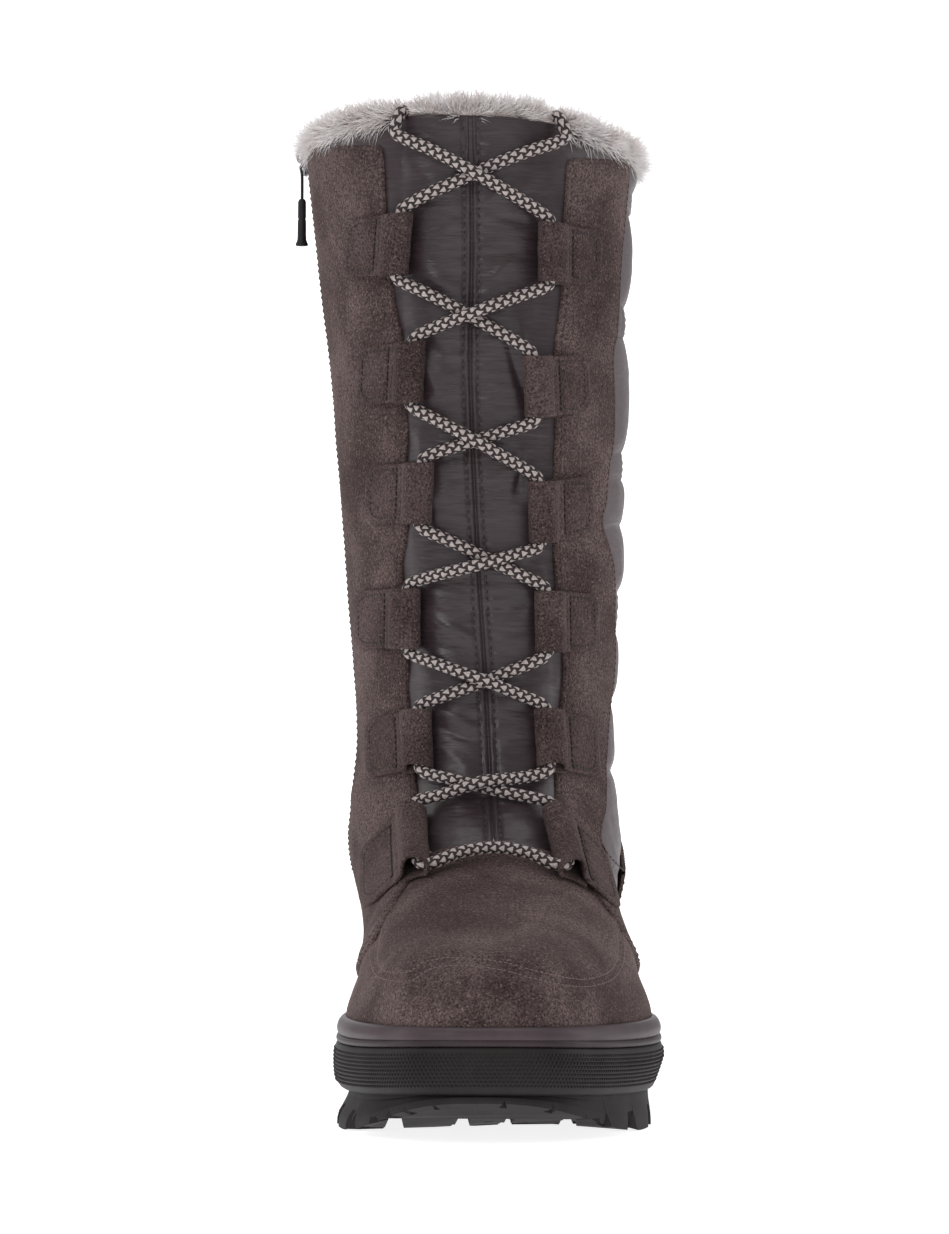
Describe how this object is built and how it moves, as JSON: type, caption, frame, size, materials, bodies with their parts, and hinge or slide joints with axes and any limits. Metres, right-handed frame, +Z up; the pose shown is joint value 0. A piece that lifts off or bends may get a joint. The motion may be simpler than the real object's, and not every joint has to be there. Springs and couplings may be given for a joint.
{
  "type": "snow boot",
  "caption": "Tall fur-lined winter boot for the left foot with a lugged rubber cup sole, laced nylon front panel and side zip.",
  "frame": {"origin": "on the floor, under the middle of the boot's box", "axes": "+Z up, the toe points to -Y, +X is the outer side of the left foot"},
  "size_m": [0.122, 0.268, 0.3441],
  "materials": {
    "tread_rubber": "matt moulded rubber, cut lugs",
    "band_rubber": "matt rubber with fine pimples",
    "welt_rubber": "smooth satin rubber",
    "felt": "soft felt",
    "suede": "napped brown suede",
    "nylon": "satin-faced padded nylon",
    "fur": "long pale pile",
    "lace_cord": "round braid, dark brown with pale flecks",
    "zip_teeth": "dark coil and woven tape",
    "slider_metal": "dark enamelled metal",
    "pull_rubber": "dark soft rubber"
  },
  "bodies": {
    "boot": {"outsole": "tread_rubber", "midsole": "band_rubber", "welt": "welt_rubber", "insole": "felt", "upper": "suede", "tongue": "nylon", "fur_cuff": "fur", "loop_inner_1": "suede", "loop_outer_1": "suede", "loop_inner_2": "suede", "loop_outer_2": "suede", "loop_inner_3": "suede", "loop_outer_3": "suede", "loop_inner_4": "suede", "loop_outer_4": "suede", "loop_inner_5": "suede", "loop_outer_5": "suede", "loop_inner_6": "suede", "loop_outer_6": "suede", "lace": "lace_cord", "zip_tape": "zip_teeth", "zip_slider": "slider_metal"},
    "zip_pull": {"zip_pull": "pull_rubber"}
  },
  "joints": [
    {"name": "pull_swing", "type": "hinge", "parent": "boot", "child": "zip_pull", "pos_m": [-0.05883, 0.07706, 0.32653], "axis": [0.1094, 0.994, 0], "range_deg": [0, 170]}
  ]
}
